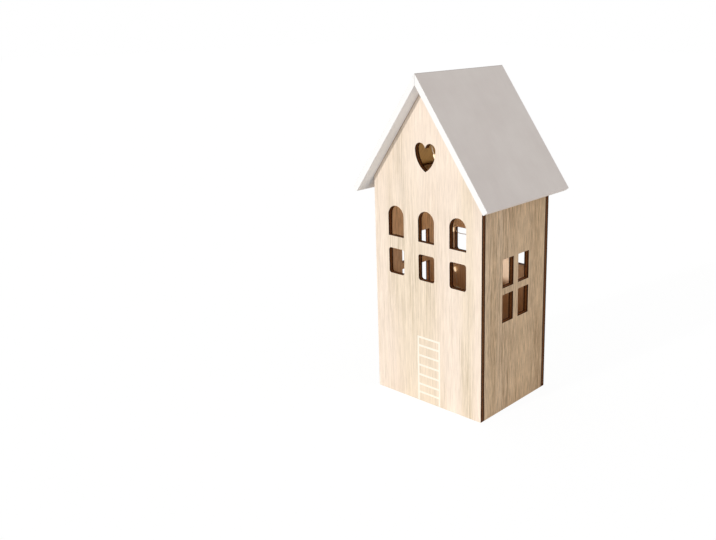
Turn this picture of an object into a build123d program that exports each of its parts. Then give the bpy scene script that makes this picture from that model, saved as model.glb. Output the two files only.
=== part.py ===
"""Tall plywood gable house lantern, lit by a battery light wire, in millimetres.

The origin is on the table under the middle of the four walls. X runs along the
front wall, Y from front to back, Z up. The front wall faces -Y.
"""
import os
from math import atan2, ceil, copysign, cos, pi, radians, sin, sqrt, tan

from build123d import *

os.makedirs("parts", exist_ok=True)

# Walls: laser-cut plywood, the gable walls lap the ends of the side walls
HOUSE_WIDTH = 100
HOUSE_DEPTH = 80
WALL = 4
EAVE_HEIGHT = 167
GABLE_RISE = 69

# Roof: two painted panels, mitred at the ridge
ROOF_THICKNESS = 4.5
FRONT_OVERHANG = 10
BACK_OVERHANG = 8
EAVE_OVERHANG = 14.5
ROOF_EDGE_ROUND = 0.5

# Gable windows: a row of arches over a row of squares
COLUMNS = 3
COLUMN_PITCH = 29
WINDOW_WIDTH = 15
ARCH_DROP = 20
ARCH_HEIGHT = 23
ROW_GAP = 9.2
SQUARE_HEIGHT = 19.5
SQUARE_CORNER = 2

# Heart above the arches
HEART_LIFT = 8.3
HEART_WIDTH = 18.8
HEART_LOBE_RISE = 15.6
HEART_LOBE_SHARE = 0.253

# Side windows: two by two panes
PANE_WIDTH = 13
PANE_HEIGHT = 21.2
MULLION = 5.8
TRANSOM = 5
SIDE_WINDOW_DROP = 75

# Floor, glued between the walls
FLOOR_THICKNESS = 4
FLOOR_RECESS = 5
FLOOR_CUT_CLEARANCE = 0.3

# Two size AAA cells
CELL_DIAMETER = 10.5
CELL_LENGTH = 44.5
CELL_NUB_DIAMETER = 3.8
CELL_NUB_LENGTH = 0.8
CELL_EDGE_BEVEL = 0.6
CELL_PLAY = 0.4

# Battery case
CASE_WALL = 1.5
CASE_CORNER = 2
CASE_END_WALL = 1.2
CELL_RIB = 1
CELL_RIB_INSET = 7
FLANGE_THICKNESS = 1.6
FLANGE_CORNER = 4
FLANGE_END_MARGIN = 3
FLANGE_SIDE_MARGIN = 6.5
WIRING_WIDTH = 8.4
GUTTER_WIDTH = 3.4
POST_DIAMETER = 3

# Sliding cover and the hooks that hold it
COVER_THICKNESS = 1.2
COVER_LAP = 0.8
COVER_CORNER = 1.5
SLIDE_GAP = 0.15
HOOK_ROOM = 1.8
HOOK_LENGTH = 5
HOOK_SPACING = 28
HOOK_THICKNESS = 1
HOOK_CLEARANCE = 0.25
HOOK_FOOT = 0.9
LEDGE_DEPTH = 1.2
LEDGE_THICKNESS = 1.2
STOP_LENGTH = 1
GRIP_RIBS = 5
GRIP_PITCH = 1.8
GRIP_LENGTH = 11
GRIP_WIDTH = 0.8
GRIP_HEIGHT = 0.4
ARROW_LENGTH = 5

# Case screws, pan head
SCREW_DIAMETER = 2
SCREW_LENGTH = 5
SCREW_HEAD_DIAMETER = 3.8
SCREW_HEAD_HEIGHT = 1.3
SCREW_HEAD_BEVEL = 0.6
SCREW_RECESS_WIDTH = 0.5
SCREW_RECESS_DEPTH = 0.6
SCREW_HOLE_CLEARANCE = 0.1

# Cell contacts
CONTACT_THICKNESS = 0.4
CONTACT_WIDTH = 9
CONTACT_HEIGHT = 7.6
TAB_WIDTH = 2.4
TAB_REACH = 2
TAB_CLEARANCE = 0.2
SPRING_LENGTH = 4.6
SPRING_WIRE = 0.5
SPRING_BASE_RADIUS = 3.3
SPRING_TIP_RADIUS = 2.2
SPRING_TURNS = 3

# Slide switch
SWITCH_X = -8
SWITCH_LENGTH = 8.6
SWITCH_WIDTH = 5
SWITCH_HEIGHT = 4.6
SWITCH_LIP = 0.6
SWITCH_POCKET = 1.2
SWITCH_CLEARANCE = 0.2
SWITCH_TRAVEL = 3
KNOB_LENGTH = 3
KNOB_WIDTH = 2.4
KNOB_FOOT_MARGIN = 0.5
KNOB_REACH = 1
KNOB_NOTCH = 0.4
KNOB_NOTCH_SHARES = (0.25, 0.5, 0.75)
SWITCH_PINS = 3
PIN_SPACING = 2.5
PIN_WIDTH = 0.5
PIN_REACH = 1
PIN_HOLE_CLEARANCE = 0.15

# Circuit board and its resistor
BOARD_LENGTH = 36
BOARD_WIDTH = 7.6
BOARD_THICKNESS = 1
BOARD_CORNER = 0.6
RESISTOR_LENGTH = 3.4
RESISTOR_DIAMETER = 1.8
RESISTOR_WAIST = 0.15
RESISTOR_SPAN = 7
RESISTOR_WIRE = 0.5
RESISTOR_BEND = 0.7

# Light wire, its lamps and the hot glue that holds it
WIRE_DIAMETER = 0.6
WIRE_SIDES = 6
WIRE_STANDOFF = 1.4
LEAD_DIAMETER = 1
LAMP_COUNT = 13
LAMP_START = 10.3
LAMP_PITCH = 33.3
LAMP_DIAMETER = 2.4
LAMP_LENGTH = 4
LAMP_BELLY = 1.8
LAMP_TIP = 0.25
LAMP_HOLE_CLEARANCE = 0.12
GLUE_DIAMETER = 5
GLUE_HEIGHT = 2.3
GLUE_CLEARANCE = 0.15
ANCHOR_DIAMETER = 4.6
ANCHOR_HEIGHT = 2
BLOB_SHARES = ((1, 0), (0.87, 0.55), (0.5, 1))
BEAD_SIDES = 8

CUT_OVERRUN = 1
ARC_SHARE = 0.45

# Heights of the gable and the windows
PEAK_HEIGHT = EAVE_HEIGHT + GABLE_RISE
ARCH_SILL = EAVE_HEIGHT - ARCH_DROP - ARCH_HEIGHT
SQUARE_SILL = ARCH_SILL - ROW_GAP - SQUARE_HEIGHT
HEART_TIP = EAVE_HEIGHT + HEART_LIFT
SIDE_WINDOW_MIDDLE = EAVE_HEIGHT - SIDE_WINDOW_DROP

# Room inside the walls
ROOM_RIGHT = HOUSE_WIDTH / 2 - WALL
ROOM_BACK = HOUSE_DEPTH / 2 - WALL

# Heights in the battery case
MOUTH_Z = FLOOR_RECESS - FLANGE_THICKNESS
CELL_Z = MOUTH_Z + HOOK_ROOM + CELL_DIAMETER / 2
CEILING_Z = CELL_Z + CELL_DIAMETER / 2 + CELL_PLAY
CASE_TOP = CEILING_Z + CASE_WALL
BOARD_Z = FLOOR_RECESS + SWITCH_HEIGHT
BOARD_TOP = BOARD_Z + BOARD_THICKNESS

# Plan of the battery case, centred under the room
BAY_LENGTH = CELL_LENGTH + SPRING_LENGTH + 2 * CONTACT_THICKNESS
BAY_WIDTH = CELL_RIB + 2 * (CELL_DIAMETER + 2 * CELL_PLAY)
CASE_LENGTH = 2 * CASE_WALL + BAY_LENGTH + CASE_END_WALL + GUTTER_WIDTH
CASE_WIDTH = 3 * CASE_WALL + BAY_WIDTH + WIRING_WIDTH
BAY_LEFT = CASE_WALL - CASE_LENGTH / 2
BAY_RIGHT = BAY_LEFT + BAY_LENGTH
BAY_FRONT = CASE_WALL - CASE_WIDTH / 2
BAY_BACK = BAY_FRONT + BAY_WIDTH
BAY_X = (BAY_LEFT + BAY_RIGHT) / 2
BAY_Y = (BAY_FRONT + BAY_BACK) / 2
WIRING_FRONT = BAY_BACK + CASE_WALL
WIRING_BACK = WIRING_FRONT + WIRING_WIDTH
WIRING_Y = (WIRING_FRONT + WIRING_BACK) / 2
GUTTER_LEFT = BAY_RIGHT + CASE_END_WALL
GUTTER_RIGHT = GUTTER_LEFT + GUTTER_WIDTH
CELL_OFFSET = (CELL_RIB + CELL_DIAMETER) / 2 + CELL_PLAY
FRONT_CELL_Y = BAY_Y - CELL_OFFSET
BACK_CELL_Y = BAY_Y + CELL_OFFSET
SCREW_Y = CASE_WIDTH / 2 + FLANGE_SIDE_MARGIN / 2
TAB_Z = CELL_Z + CONTACT_HEIGHT / 2 - CONTACT_THICKNESS
TAB_X = GUTTER_LEFT + TAB_REACH / 2
COVER_TOP = MOUTH_Z - SLIDE_GAP
COVER_TRAVEL = HOOK_LENGTH + 2 * HOOK_CLEARANCE

# Plan of the wiring bay: the board lies over the switch, its ends on posts
BOARD_X = SWITCH_X + SWITCH_LENGTH / 4
BOARD_LEFT = BOARD_X - BOARD_LENGTH / 2
BOARD_RIGHT = BOARD_X + BOARD_LENGTH / 2


def save(piece, name):
    """Label a finished piece and write it under its name."""
    piece.part.label = name
    export_step(piece.part, f"parts/{name}.step")


def box(x, y, z, mode=Mode.ADD):
    """A box between two values on each axis."""
    with Locations(((x[0] + x[1]) / 2, (y[0] + y[1]) / 2, (z[0] + z[1]) / 2)):
        Box(x[1] - x[0], y[1] - y[0], z[1] - z[0], mode=mode)


def heart_lobe():
    """Notch, top and outer side of the heart's right lobe, a part of a circle."""
    lobe_radius = HEART_WIDTH * HEART_LOBE_SHARE
    lobe_x = HEART_WIDTH / 2 - lobe_radius
    lobe_z = HEART_TIP + HEART_LOBE_RISE
    notch_z = lobe_z + sqrt(lobe_radius**2 - lobe_x**2)
    return (0, notch_z), (lobe_x, lobe_z + lobe_radius), (HEART_WIDTH / 2, lobe_z)


def gable_wall(name, far_y):
    """A gable wall whose back face is at far_y, with its windows and heart."""
    arch_spring = ARCH_SILL + ARCH_HEIGHT - WINDOW_WIDTH / 2
    with BuildPart() as wall:
        with BuildSketch(Plane.XZ.offset(-far_y)):
            with BuildLine():
                Polyline(
                    (-HOUSE_WIDTH / 2, 0),
                    (HOUSE_WIDTH / 2, 0),
                    (HOUSE_WIDTH / 2, EAVE_HEIGHT),
                    (0, PEAK_HEIGHT),
                    (-HOUSE_WIDTH / 2, EAVE_HEIGHT),
                    close=True,
                )
            make_face()
            with Locations((0, SQUARE_SILL + SQUARE_HEIGHT / 2)):
                with GridLocations(COLUMN_PITCH, 0, COLUMNS, 1):
                    RectangleRounded(WINDOW_WIDTH, SQUARE_HEIGHT, SQUARE_CORNER, mode=Mode.SUBTRACT)
            with Locations((0, (ARCH_SILL + arch_spring) / 2)):
                with GridLocations(COLUMN_PITCH, 0, COLUMNS, 1):
                    Rectangle(WINDOW_WIDTH, arch_spring - ARCH_SILL, mode=Mode.SUBTRACT)
            with Locations((0, arch_spring)):
                with GridLocations(COLUMN_PITCH, 0, COLUMNS, 1):
                    Circle(WINDOW_WIDTH / 2, mode=Mode.SUBTRACT)
            with BuildLine():
                lobe = ThreePointArc(*heart_lobe())
                TangentArc(lobe @ 1, (0, HEART_TIP), tangent=lobe % 1)
                mirror(about=Plane.YZ)
            make_face(mode=Mode.SUBTRACT)
        extrude(amount=WALL)
    save(wall, name)


def side_wall(name, near_x):
    """A side wall whose left face is at near_x, square cut under the roof."""
    with BuildPart() as wall:
        with BuildSketch(Plane.YZ.offset(near_x)):
            with Locations((0, EAVE_HEIGHT / 2)):
                Rectangle(2 * ROOM_BACK, EAVE_HEIGHT)
            with Locations((0, SIDE_WINDOW_MIDDLE)):
                with GridLocations(PANE_WIDTH + MULLION, PANE_HEIGHT + TRANSOM, 2, 2):
                    Rectangle(PANE_WIDTH, PANE_HEIGHT, mode=Mode.SUBTRACT)
        extrude(amount=WALL)
    save(wall, name)


def roof_panel(name, side):
    """A roof panel lying on the gables, side is 1 for right and -1 for left."""
    slope = atan2(GABLE_RISE, HOUSE_WIDTH / 2)
    eave_x = HOUSE_WIDTH / 2 + EAVE_OVERHANG * cos(slope)
    eave_z = EAVE_HEIGHT - EAVE_OVERHANG * sin(slope)
    rise_x = ROOF_THICKNESS * sin(slope)
    rise_z = ROOF_THICKNESS * cos(slope)
    with BuildPart() as panel:
        with BuildSketch(Plane.XZ.offset(-HOUSE_DEPTH / 2 - BACK_OVERHANG)):
            with BuildLine():
                Polyline(
                    (0, PEAK_HEIGHT),
                    (side * eave_x, eave_z),
                    (side * (eave_x + rise_x), eave_z + rise_z),
                    (0, PEAK_HEIGHT + ROOF_THICKNESS / cos(slope)),
                    close=True,
                )
            make_face()
        extrude(amount=FRONT_OVERHANG + HOUSE_DEPTH + BACK_OVERHANG)
        along = panel.edges().filter_by(Axis.Y)
        eave = along.filter_by(lambda edge: side * edge.center().X > HOUSE_WIDTH / 2)
        fillet(eave, ROOF_EDGE_ROUND)
    save(panel, name)


def base_plate():
    """The floor, cut out for the battery case and drilled for its screws."""
    with BuildPart() as plate:
        with BuildSketch(Plane.XY.offset(FLOOR_RECESS)):
            Rectangle(2 * ROOM_RIGHT, 2 * ROOM_BACK)
            RectangleRounded(
                CASE_LENGTH + 2 * FLOOR_CUT_CLEARANCE,
                CASE_WIDTH + 2 * FLOOR_CUT_CLEARANCE,
                CASE_CORNER + FLOOR_CUT_CLEARANCE,
                mode=Mode.SUBTRACT,
            )
            with Locations((0, -SCREW_Y), (0, SCREW_Y)):
                Circle(SCREW_DIAMETER / 2, mode=Mode.SUBTRACT)
        extrude(amount=FLOOR_THICKNESS)
    save(plate, "base_plate")


def hook_places():
    """The left end and the wall line of each hook, and the way into the bay."""
    for along in (-HOOK_SPACING / 2, HOOK_SPACING / 2):
        left = BAY_X + along - HOOK_LENGTH / 2
        yield left, BAY_FRONT, 1
        yield left, BAY_BACK, -1


def span(start, way, near, far):
    """Two values counted from a wall, in rising order."""
    return sorted((start + way * near, start + way * far))


def battery_case():
    """The moulded case: cell bay open below, wiring bay and gutter open above."""
    with BuildPart() as case:
        with BuildSketch(Plane.XY.offset(MOUTH_Z)):
            RectangleRounded(CASE_LENGTH, CASE_WIDTH, CASE_CORNER)
        extrude(amount=CASE_TOP - MOUTH_Z)
        with BuildSketch(Plane.XY.offset(MOUTH_Z)):
            RectangleRounded(
                CASE_LENGTH + 2 * FLANGE_END_MARGIN,
                CASE_WIDTH + 2 * FLANGE_SIDE_MARGIN,
                FLANGE_CORNER,
            )
            with Locations((0, -SCREW_Y), (0, SCREW_Y)):
                Circle(SCREW_DIAMETER / 2 + SCREW_HOLE_CLEARANCE, mode=Mode.SUBTRACT)
        extrude(amount=FLANGE_THICKNESS)
        box(
            (BAY_LEFT, BAY_RIGHT),
            (BAY_FRONT, BAY_BACK),
            (MOUTH_Z - CUT_OVERRUN, CEILING_Z),
            Mode.SUBTRACT,
        )
        above = (FLOOR_RECESS, CASE_TOP + CUT_OVERRUN)
        box((BAY_LEFT, GUTTER_RIGHT), (WIRING_FRONT, WIRING_BACK), above, Mode.SUBTRACT)
        box((GUTTER_LEFT, GUTTER_RIGHT), (BAY_FRONT, WIRING_BACK), above, Mode.SUBTRACT)
        box(
            (BAY_LEFT + CELL_RIB_INSET, BAY_RIGHT - CELL_RIB_INSET),
            (BAY_Y - CELL_RIB / 2, BAY_Y + CELL_RIB / 2),
            (CELL_Z, CEILING_Z),
        )
        for left, wall_y, way in hook_places():
            stop_left = left + HOOK_LENGTH + HOOK_CLEARANCE
            ledge_y = span(wall_y, way, 0, LEDGE_DEPTH)
            stop_y = span(wall_y, way, 0, LEDGE_DEPTH + HOOK_CLEARANCE + HOOK_THICKNESS)
            box((left, stop_left + STOP_LENGTH), ledge_y, (MOUTH_Z, MOUTH_Z + LEDGE_THICKNESS))
            box((stop_left, stop_left + STOP_LENGTH), stop_y, (MOUTH_Z, hook_top()))
        for tab_y in (FRONT_CELL_Y, BACK_CELL_Y):
            box(
                (BAY_RIGHT - CUT_OVERRUN, GUTTER_LEFT + CUT_OVERRUN),
                (tab_y - TAB_WIDTH / 2 - TAB_CLEARANCE, tab_y + TAB_WIDTH / 2 + TAB_CLEARANCE),
                (TAB_Z - TAB_CLEARANCE, TAB_Z + CONTACT_THICKNESS + TAB_CLEARANCE),
                Mode.SUBTRACT,
            )
        box(
            (SWITCH_X - knob_room() / 2, SWITCH_X + knob_room() / 2),
            (WIRING_Y - knob_slot() / 2, WIRING_Y + knob_slot() / 2),
            (MOUTH_Z - CUT_OVERRUN, FLOOR_RECESS + CUT_OVERRUN),
            Mode.SUBTRACT,
        )
        with BuildSketch(Plane.XY.offset(FLOOR_RECESS)):
            with Locations(*post_places()):
                Circle(POST_DIAMETER / 2)
        extrude(amount=SWITCH_HEIGHT)
    save(case, "battery_case")


def hook_top():
    """Height of the hooks' upper faces, over the ledges that hold them."""
    return MOUTH_Z + LEDGE_THICKNESS + HOOK_CLEARANCE + HOOK_FOOT


def post_places():
    """The two posts under the ends of the board."""
    inset = POST_DIAMETER / 2
    return (BOARD_LEFT + inset, WIRING_Y), (BOARD_RIGHT - inset, WIRING_Y)


def knob_room():
    """Length of the slot that the knob travels in."""
    return KNOB_LENGTH + SWITCH_TRAVEL + 2 * SWITCH_CLEARANCE


def knob_slot():
    """Width of the slot that the knob travels in."""
    return KNOB_WIDTH + 2 * SWITCH_CLEARANCE


def battery_cover():
    """The sliding cover: a plate with four hooks, finger ribs and an arrow."""
    plate_bottom = COVER_TOP - COVER_THICKNESS
    with BuildPart() as cover:
        with BuildSketch(Plane.XY.offset(plate_bottom)):
            with Locations((BAY_X, BAY_Y)):
                RectangleRounded(BAY_LENGTH + 2 * COVER_LAP, BAY_WIDTH + 2 * COVER_LAP, COVER_CORNER)
        extrude(amount=COVER_THICKNESS)
        for left, wall_y, way in hook_places():
            leg_near = LEDGE_DEPTH + HOOK_CLEARANCE
            along = (left, left + HOOK_LENGTH)
            leg_y = span(wall_y, way, leg_near, leg_near + HOOK_THICKNESS)
            foot_y = span(wall_y, way, HOOK_CLEARANCE, leg_near + HOOK_THICKNESS)
            box(along, leg_y, (COVER_TOP, hook_top()))
            box(along, foot_y, (hook_top() - HOOK_FOOT, hook_top()))
        ribs_x = BAY_RIGHT - CASE_WALL - GRIP_RIBS * GRIP_PITCH
        with BuildSketch(Plane.XY.offset(plate_bottom)):
            with Locations((ribs_x + (GRIP_RIBS - 1) * GRIP_PITCH / 2, BAY_Y)):
                with GridLocations(GRIP_PITCH, 0, GRIP_RIBS, 1):
                    Rectangle(GRIP_WIDTH, GRIP_LENGTH)
            with Locations((ribs_x - ARROW_LENGTH, BAY_Y)):
                RegularPolygon(ARROW_LENGTH / 2, 3, rotation=180)
        extrude(amount=-GRIP_HEIGHT)
    save(cover, "battery_cover")


def case_screws():
    """Two pan head screws with a cross recess, up through the flange."""
    head_radius = SCREW_HEAD_DIAMETER / 2
    head_z = MOUTH_Z - SCREW_HEAD_HEIGHT
    tip = SCREW_DIAMETER / 2
    with BuildPart() as screws:
        for screw_y in (-SCREW_Y, SCREW_Y):
            with BuildSketch(Plane.XZ.offset(-screw_y)):
                with BuildLine():
                    Polyline(
                        (head_radius, MOUTH_Z),
                        (SCREW_DIAMETER / 2, MOUTH_Z),
                        (SCREW_DIAMETER / 2, MOUTH_Z + SCREW_LENGTH - tip),
                        (0, MOUTH_Z + SCREW_LENGTH),
                        (0, head_z),
                        (head_radius - SCREW_HEAD_BEVEL, head_z),
                        (head_radius, head_z + SCREW_HEAD_BEVEL),
                        close=True,
                    )
                make_face()
            revolve(axis=Axis((0, screw_y, 0), (0, 0, 1)))
            recess_z = (head_z - CUT_OVERRUN, head_z + SCREW_RECESS_DEPTH)
            long = (-head_radius / 2, head_radius / 2)
            short = (-SCREW_RECESS_WIDTH / 2, SCREW_RECESS_WIDTH / 2)
            box(long, (screw_y + short[0], screw_y + short[1]), recess_z, Mode.SUBTRACT)
            box(short, (screw_y + long[0], screw_y + long[1]), recess_z, Mode.SUBTRACT)
    save(screws, "case_screws")


def battery(name, cell_y, plus_x, way):
    """A cell along X, its nub at plus_x and pointing the way given."""
    radius = CELL_DIAMETER / 2
    nub = CELL_NUB_DIAMETER / 2
    shoulder_x = plus_x - way * CELL_NUB_LENGTH
    flat_x = plus_x - way * CELL_LENGTH
    with BuildPart() as cell:
        with BuildSketch(Plane.XY.offset(CELL_Z)):
            with BuildLine():
                Polyline(
                    (plus_x, cell_y),
                    (plus_x, cell_y + nub),
                    (shoulder_x, cell_y + nub),
                    (shoulder_x, cell_y + radius),
                    (flat_x, cell_y + radius),
                    (flat_x, cell_y),
                    close=True,
                )
            make_face()
        revolve(axis=Axis((0, cell_y, CELL_Z), (1, 0, 0)))
        circles = cell.edges().filter_by(GeomType.CIRCLE)
        rims = circles.filter_by(lambda edge: edge.radius > nub + CELL_EDGE_BEVEL)
        chamfer(rims, CELL_EDGE_BEVEL)
    save(cell, name)


def contact_face(x, plate_y, width):
    """The flat of a contact plate, standing against an end of the bay."""
    box(
        (x, x + CONTACT_THICKNESS),
        (plate_y - width / 2, plate_y + width / 2),
        (CELL_Z - CONTACT_HEIGHT / 2, CELL_Z + CONTACT_HEIGHT / 2),
    )


def bridge_plate():
    """The plate that joins the two cells, at the left end of the bay."""
    with BuildPart() as plate:
        contact_face(BAY_LEFT, BAY_Y, CONTACT_WIDTH + 2 * CELL_OFFSET)
        fillet(plate.edges().filter_by(Axis.X), CONTACT_THICKNESS)
    save(plate, "bridge_plate")


def tabbed_plate(name, cell_y):
    """A plate at the right end of the bay, its tab bent through the end wall."""
    plate_x = BAY_RIGHT - CONTACT_THICKNESS
    with BuildPart() as plate:
        contact_face(plate_x, cell_y, CONTACT_WIDTH)
        fillet(plate.edges().filter_by(Axis.X), CONTACT_THICKNESS)
        box(
            (plate_x, GUTTER_LEFT + TAB_REACH),
            (cell_y - TAB_WIDTH / 2, cell_y + TAB_WIDTH / 2),
            (TAB_Z, TAB_Z + CONTACT_THICKNESS),
        )
    save(plate, name)


def biarc(start, start_way, end, end_way):
    """Two arcs that leave start and reach end along the ways given."""
    chord = end - start
    both = start_way + end_way
    a = 2 * (start_way.dot(end_way) - 1)
    b = 2 * chord.dot(both)
    c = -chord.dot(chord)
    reach = (b - sqrt(b * b + 4 * a * c)) / (2 * a)
    first = start + start_way * reach
    second = end - end_way * reach
    joint = (first + second) * 0.5
    TangentArc(start, joint, tangent=start_way)
    TangentArc(joint, end, tangent=second - first)


def spring_path(plate_x, way, cell_y):
    """A conical coil, its ends running straight into plate and cell."""
    quarters = 4 * SPRING_TURNS
    stub = SPRING_WIRE
    rise = SPRING_LENGTH - 4 * stub
    knots = []
    for quarter in range(quarters + 1):
        share = quarter / quarters
        angle = quarter * pi / 2
        radius = SPRING_BASE_RADIUS + (SPRING_TIP_RADIUS - SPRING_BASE_RADIUS) * share
        lift = rise / quarters / (pi / 2)
        point = Vector(
            plate_x + way * (2 * stub + rise * share),
            cell_y + radius * cos(angle),
            CELL_Z + radius * sin(angle),
        )
        tangent = Vector(way * lift, -radius * sin(angle), radius * cos(angle)).normalized()
        knots.append((point, tangent))
    axis_way = Vector(way, 0, 0)
    first, first_way = knots[0]
    last, last_way = knots[-1]
    before = first - first_way * (2 * stub)
    beyond = last + last_way * (2 * stub)
    root = Vector(plate_x, before.Y, before.Z)
    tip = Vector(plate_x + way * SPRING_LENGTH, beyond.Y, beyond.Z)
    Line(root, root + axis_way * stub)
    biarc(root + axis_way * stub, axis_way, first, first_way)
    for (start, start_way), (end, end_way) in zip(knots, knots[1:]):
        biarc(start, start_way, end, end_way)
    biarc(last, last_way, tip - axis_way * stub, axis_way)
    Line(tip - axis_way * stub, tip)


def contact_springs():
    """Two conical springs, one against the flat end of each cell."""
    with BuildPart() as springs:
        places = (
            (BAY_LEFT + CONTACT_THICKNESS, 1, FRONT_CELL_Y),
            (BAY_RIGHT - CONTACT_THICKNESS, -1, BACK_CELL_Y),
        )
        for plate_x, way, cell_y in places:
            with BuildLine() as coil:
                spring_path(plate_x, way, cell_y)
            wire = coil.wires()[0]
            with BuildSketch(Plane(origin=wire @ 0, z_dir=wire % 0)):
                RegularPolygon(SPRING_WIRE / 2, WIRE_SIDES)
            sweep(path=wire)
            report_coil(wire)
    save(springs, "contact_springs")


def report_coil(wire):
    """Print the least gap between a coil's turns, measured on points."""
    steps = ceil(wire.length / SPRING_WIRE)
    points = [wire @ (step / steps) for step in range(steps + 1)]
    apart = ceil(pi * SPRING_TIP_RADIUS / SPRING_WIRE)
    pairs = ((a, b) for i, a in enumerate(points) for b in points[i + apart :])
    gap = min((a - b).length for a, b in pairs) - SPRING_WIRE
    print(f"contact spring: length {wire.length:.1f}, least gap {gap:.2f}")


def switch_body():
    """The switch's can, its pocket open below for the knob."""
    pocket_width = KNOB_WIDTH + 2 * (KNOB_FOOT_MARGIN + SWITCH_CLEARANCE)
    with BuildPart() as body:
        box(
            (SWITCH_X - SWITCH_LENGTH / 2, SWITCH_X + SWITCH_LENGTH / 2),
            (WIRING_Y - SWITCH_WIDTH / 2, WIRING_Y + SWITCH_WIDTH / 2),
            (FLOOR_RECESS, BOARD_Z),
        )
        along = (SWITCH_X - knob_room() / 2, SWITCH_X + knob_room() / 2)
        for width, low, high in (
            (knob_slot(), FLOOR_RECESS - CUT_OVERRUN, FLOOR_RECESS + SWITCH_LIP),
            (pocket_width, FLOOR_RECESS + SWITCH_LIP, FLOOR_RECESS + SWITCH_LIP + SWITCH_POCKET),
        ):
            box(along, (WIRING_Y - width / 2, WIRING_Y + width / 2), (low, high), Mode.SUBTRACT)
    save(body, "switch_body")


def switch_knob():
    """The knob, at OFF on the left of its slot, its foot behind the can's lips."""
    left = SWITCH_X - SWITCH_TRAVEL / 2 - KNOB_LENGTH / 2
    along = (left, left + KNOB_LENGTH)
    foot_low = FLOOR_RECESS + SWITCH_LIP + SWITCH_CLEARANCE
    foot_high = FLOOR_RECESS + SWITCH_LIP + SWITCH_POCKET - SWITCH_CLEARANCE
    foot_width = KNOB_WIDTH + 2 * KNOB_FOOT_MARGIN
    knob_bottom = MOUTH_Z - KNOB_REACH
    with BuildPart() as knob:
        box(along, (WIRING_Y - KNOB_WIDTH / 2, WIRING_Y + KNOB_WIDTH / 2), (knob_bottom, foot_high))
        box(along, (WIRING_Y - foot_width / 2, WIRING_Y + foot_width / 2), (foot_low, foot_high))
        for share in KNOB_NOTCH_SHARES:
            notch_x = left + KNOB_LENGTH * share
            box(
                (notch_x - KNOB_NOTCH / 2, notch_x + KNOB_NOTCH / 2),
                (WIRING_Y - KNOB_WIDTH, WIRING_Y + KNOB_WIDTH),
                (knob_bottom - CUT_OVERRUN, knob_bottom + KNOB_NOTCH),
                Mode.SUBTRACT,
            )
    save(knob, "switch_knob")


def pin_places():
    """The switch's pins, in a row along X."""
    middle = (SWITCH_PINS - 1) / 2
    return [(SWITCH_X + (pin - middle) * PIN_SPACING, WIRING_Y) for pin in range(SWITCH_PINS)]


def switch_pins():
    """The pins, from the can up through the board."""
    with BuildPart() as pins:
        with BuildSketch(Plane.XY.offset(BOARD_Z)):
            with Locations(*pin_places()):
                Rectangle(PIN_WIDTH, PIN_WIDTH)
        extrude(amount=BOARD_THICKNESS + PIN_REACH)
    save(pins, "switch_pins")


def driver_board():
    """The board, drilled for the switch's pins."""
    with BuildPart() as board:
        with BuildSketch(Plane.XY.offset(BOARD_Z)):
            with Locations((BOARD_X, WIRING_Y)):
                RectangleRounded(BOARD_LENGTH, BOARD_WIDTH, BOARD_CORNER)
            with Locations(*pin_places()):
                Circle(PIN_WIDTH / sqrt(2) + PIN_HOLE_CLEARANCE, mode=Mode.SUBTRACT)
        extrude(amount=BOARD_THICKNESS)
    save(board, "driver_board")


def resistor():
    """The resistor on the board, between the switch and the leads."""
    middle_x = (SWITCH_X + SWITCH_LENGTH / 2 + BOARD_RIGHT) / 2 - RESISTOR_SPAN / 4
    radius = RESISTOR_DIAMETER / 2
    axis_z = BOARD_TOP + radius
    half = RESISTOR_LENGTH / 2
    left = Vector(middle_x - RESISTOR_SPAN / 2, WIRING_Y, BOARD_TOP)
    right = Vector(middle_x + RESISTOR_SPAN / 2, WIRING_Y, BOARD_TOP)
    up = Vector(0, 0, radius)
    with BuildPart() as part:
        with BuildLine() as lead:
            FilletPolyline(left, left + up, right + up, right, radius=RESISTOR_BEND)
        with BuildSketch(Plane(origin=left, z_dir=up)):
            RegularPolygon(RESISTOR_WIRE / 2, WIRE_SIDES)
        sweep(path=lead.wires()[0])
        with BuildSketch(Plane.XZ.offset(-WIRING_Y)):
            with BuildLine():
                Polyline(
                    (middle_x - half, axis_z),
                    (middle_x - half, axis_z + radius),
                    (middle_x - half / 2, axis_z + radius - RESISTOR_WAIST),
                    (middle_x + half / 2, axis_z + radius - RESISTOR_WAIST),
                    (middle_x + half, axis_z + radius),
                    (middle_x + half, axis_z),
                    close=True,
                )
            make_face()
        revolve(axis=Axis((middle_x, WIRING_Y, axis_z), (1, 0, 0)))
    save(part, "resistor")


def route_radii(points):
    """The arc at each corner of a route, as large as its two runs allow."""
    radii = []
    for before, here, after in zip(points, points[1:], points[2:]):
        arriving = Vector(*here) - Vector(*before)
        leaving = Vector(*after) - Vector(*here)
        turn = radians(arriving.get_angle(leaving))
        radii.append(ARC_SHARE * min(arriving.length, leaving.length) / tan(turn / 2))
    return radii


def tube(name, points, diameter):
    """A many-sided tube along a route, saved under its name; gives back its path."""
    radii = route_radii(points)
    with BuildPart() as piece:
        with BuildLine() as line:
            FilletPolyline(*points, radius=radii)
        path = line.wires()[0]
        with BuildSketch(Plane(origin=path @ 0, z_dir=path % 0)) as section:
            RegularPolygon(diameter / 2, WIRE_SIDES)
        sweep(path=path)
    expected = section.sketch.area * path.length
    print(f"{name}: length {path.length:.1f}, volume over expected {piece.part.volume / expected:.4f}")
    print("  radii " + " ".join(f"{radius:.1f}" for radius in radii))
    save(piece, name)
    return path


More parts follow.
